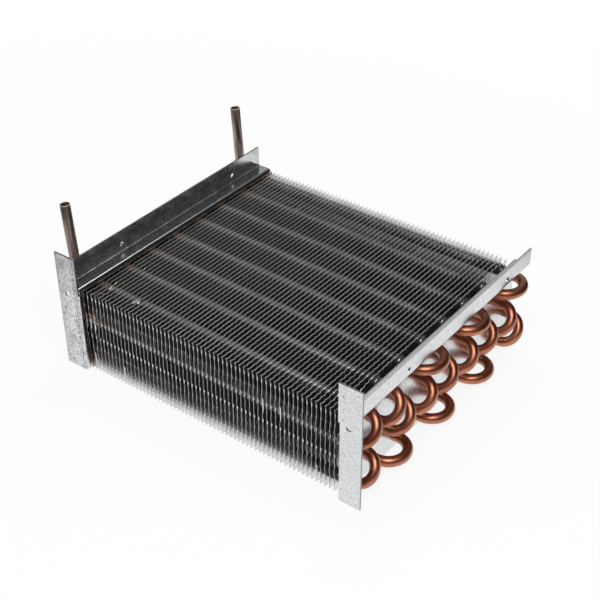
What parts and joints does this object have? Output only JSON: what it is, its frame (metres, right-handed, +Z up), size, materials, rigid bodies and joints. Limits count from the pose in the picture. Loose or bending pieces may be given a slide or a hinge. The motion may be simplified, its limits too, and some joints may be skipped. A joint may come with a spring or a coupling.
{
  "type": "finned condenser coil",
  "caption": "Finned heat exchanger coil: aluminium fins on rows of copper hairpin tubes between folded steel end plates, with return bends and two open stub tubes.",
  "frame": {"origin": "in the middle of the coil's overall length and depth, level with the bottom edges of the end plates", "axes": "+X along the tubes towards the hairpin bends, +Y from the front flanges to the back, +Z up along the end plates towards the open stub ends"},
  "size_m": [0.2642, 0.2074, 0.1123],
  "materials": {
    "galvanised_steel": "bright galvanised sheet with a fine spangle",
    "fin_foil": "bare rolled foil",
    "bright_copper": "bright drawn copper",
    "dull_copper": "tarnished copper"
  },
  "bodies": {
    "root": {"end_plate_left": "galvanised_steel", "end_plate_right": "galvanised_steel", "fins_01": "fin_foil", "fins_02": "fin_foil", "fins_03": "fin_foil", "fins_04": "fin_foil", "fins_05": "fin_foil", "fins_06": "fin_foil", "fins_07": "fin_foil", "fins_08": "fin_foil", "fins_09": "fin_foil", "fins_10": "fin_foil", "fins_11": "fin_foil", "fins_12": "fin_foil", "fins_13": "fin_foil", "fins_14": "fin_foil", "fins_15": "fin_foil", "fins_16": "fin_foil", "fins_17": "fin_foil", "fins_18": "fin_foil", "fins_19": "fin_foil", "fins_20": "fin_foil", "hairpin_tube_01": "bright_copper", "hairpin_tube_02": "bright_copper", "hairpin_tube_03": "bright_copper", "hairpin_tube_04": "bright_copper", "hairpin_tube_05": "bright_copper", "hairpin_tube_06": "bright_copper", "hairpin_tube_07": "bright_copper", "hairpin_tube_08": "bright_copper", "hairpin_tube_09": "bright_copper", "hairpin_tube_10": "bright_copper", "hairpin_tube_11": "bright_copper", "hairpin_tube_12": "bright_copper", "hairpin_tube_13": "bright_copper", "hairpin_tube_14": "bright_copper", "hairpin_tube_15": "bright_copper", "hairpin_tube_16": "bright_copper", "return_bend_01": "bright_copper", "return_bend_02": "bright_copper", "return_bend_03": "bright_copper", "return_bend_04": "bright_copper", "return_bend_05": "bright_copper", "return_bend_06": "bright_copper", "return_bend_07": "bright_copper", "return_bend_08": "bright_copper", "return_bend_09": "bright_copper", "return_bend_10": "bright_copper", "return_bend_11": "bright_copper", "return_bend_12": "bright_copper", "return_bend_13": "bright_copper", "return_bend_14": "bright_copper", "return_bend_15": "bright_copper", "stub_tube_front": "dull_copper", "stub_tube_rear": "dull_copper"}
  },
  "joints": []
}
